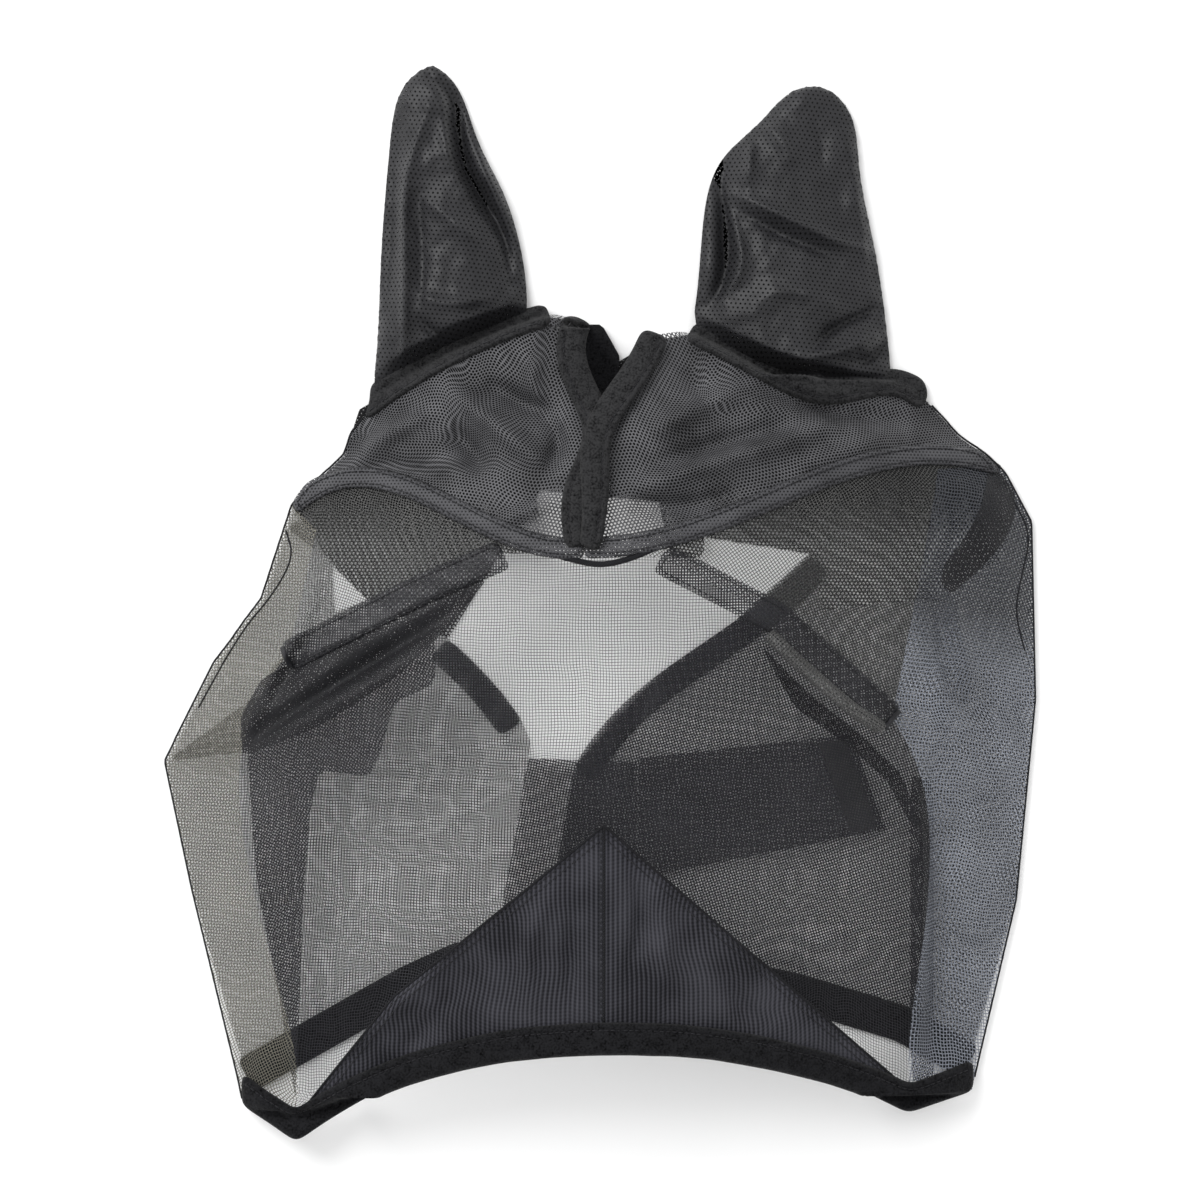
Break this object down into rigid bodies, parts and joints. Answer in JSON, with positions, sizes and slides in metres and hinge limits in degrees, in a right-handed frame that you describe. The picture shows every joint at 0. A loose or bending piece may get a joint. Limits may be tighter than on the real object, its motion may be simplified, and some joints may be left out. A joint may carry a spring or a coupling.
{
  "type": "horse fly mask with ear pockets",
  "caption": "See-through mesh mask for a horse's head, with ear pockets, fleece edges, an opaque nose patch and a hook-and-loop throat closure.",
  "frame": {"origin": "middle of the bounding box, on the surface that the mask lies on", "axes": "+Z out of the face, +Y towards the ears, +X to the right as seen from above the face"},
  "size_m": [0.452, 0.555, 0.0861],
  "materials": {
    "face_mesh": "see-through coated plain-weave mesh",
    "poll_mesh": "stretch knit mesh",
    "ear_knit": "finely perforated knit",
    "rib_knit": "fine vertical rib, matte",
    "folded_tape": "folded and stitched",
    "fleece": "short plush pile",
    "hook_and_loop": "hook tape and loop tape",
    "thread": "dense zigzag stitching"
  },
  "bodies": {
    "mask": {"poll_panel_left": "poll_mesh", "poll_panel_right": "poll_mesh", "crown_panel": "poll_mesh", "brow_panel_left": "face_mesh", "brow_panel_right": "face_mesh", "cheek_panel_left": "face_mesh", "cheek_panel_right": "face_mesh", "face_panel": "face_mesh", "jaw_panel_left": "face_mesh", "jaw_panel_right": "face_mesh", "nose_patch_left": "rib_knit", "nose_patch_right": "rib_knit", "poll_hem_left": "poll_mesh", "poll_hem_right": "poll_mesh", "dart_strip_left": "folded_tape", "dart_strip_right": "folded_tape", "throat_hem_left": "folded_tape", "throat_hem_right": "folded_tape", "bartack_left": "thread", "bartack_right": "thread", "forelock_binding_left": "fleece", "forelock_binding_right": "fleece", "ear_edge_binding_left": "fleece", "ear_edge_binding_right": "fleece", "nose_hem_front": "fleece", "nose_hem_back_left": "fleece", "nose_hem_back_right": "fleece", "loop_tape": "hook_and_loop"},
    "ear_left": {"ear_front_left": "ear_knit", "ear_back_left": "ear_knit"},
    "ear_right": {"ear_front_right": "ear_knit", "ear_back_right": "ear_knit"},
    "tongue": {"closure_tongue": "face_mesh", "hook_tape": "hook_and_loop"}
  },
  "joints": [
    {"name": "ear_left_fold", "type": "hinge", "parent": "mask", "child": "ear_left", "pos_m": [-0.0795, 0.1355, 0.03], "axis": [0.9056, 0.4241, 0], "range_deg": [0, 120]},
    {"name": "ear_right_fold", "type": "hinge", "parent": "mask", "child": "ear_right", "pos_m": [0.1, 0.132, 0.03], "axis": [0.9594, -0.2822, 0], "range_deg": [0, 120]},
    {"name": "closure_tongue_lift", "type": "hinge", "parent": "mask", "child": "tongue", "pos_m": [0.0196, -0.114, 0.0048], "axis": [0, -1, 0], "range_deg": [0, 20]}
  ]
}
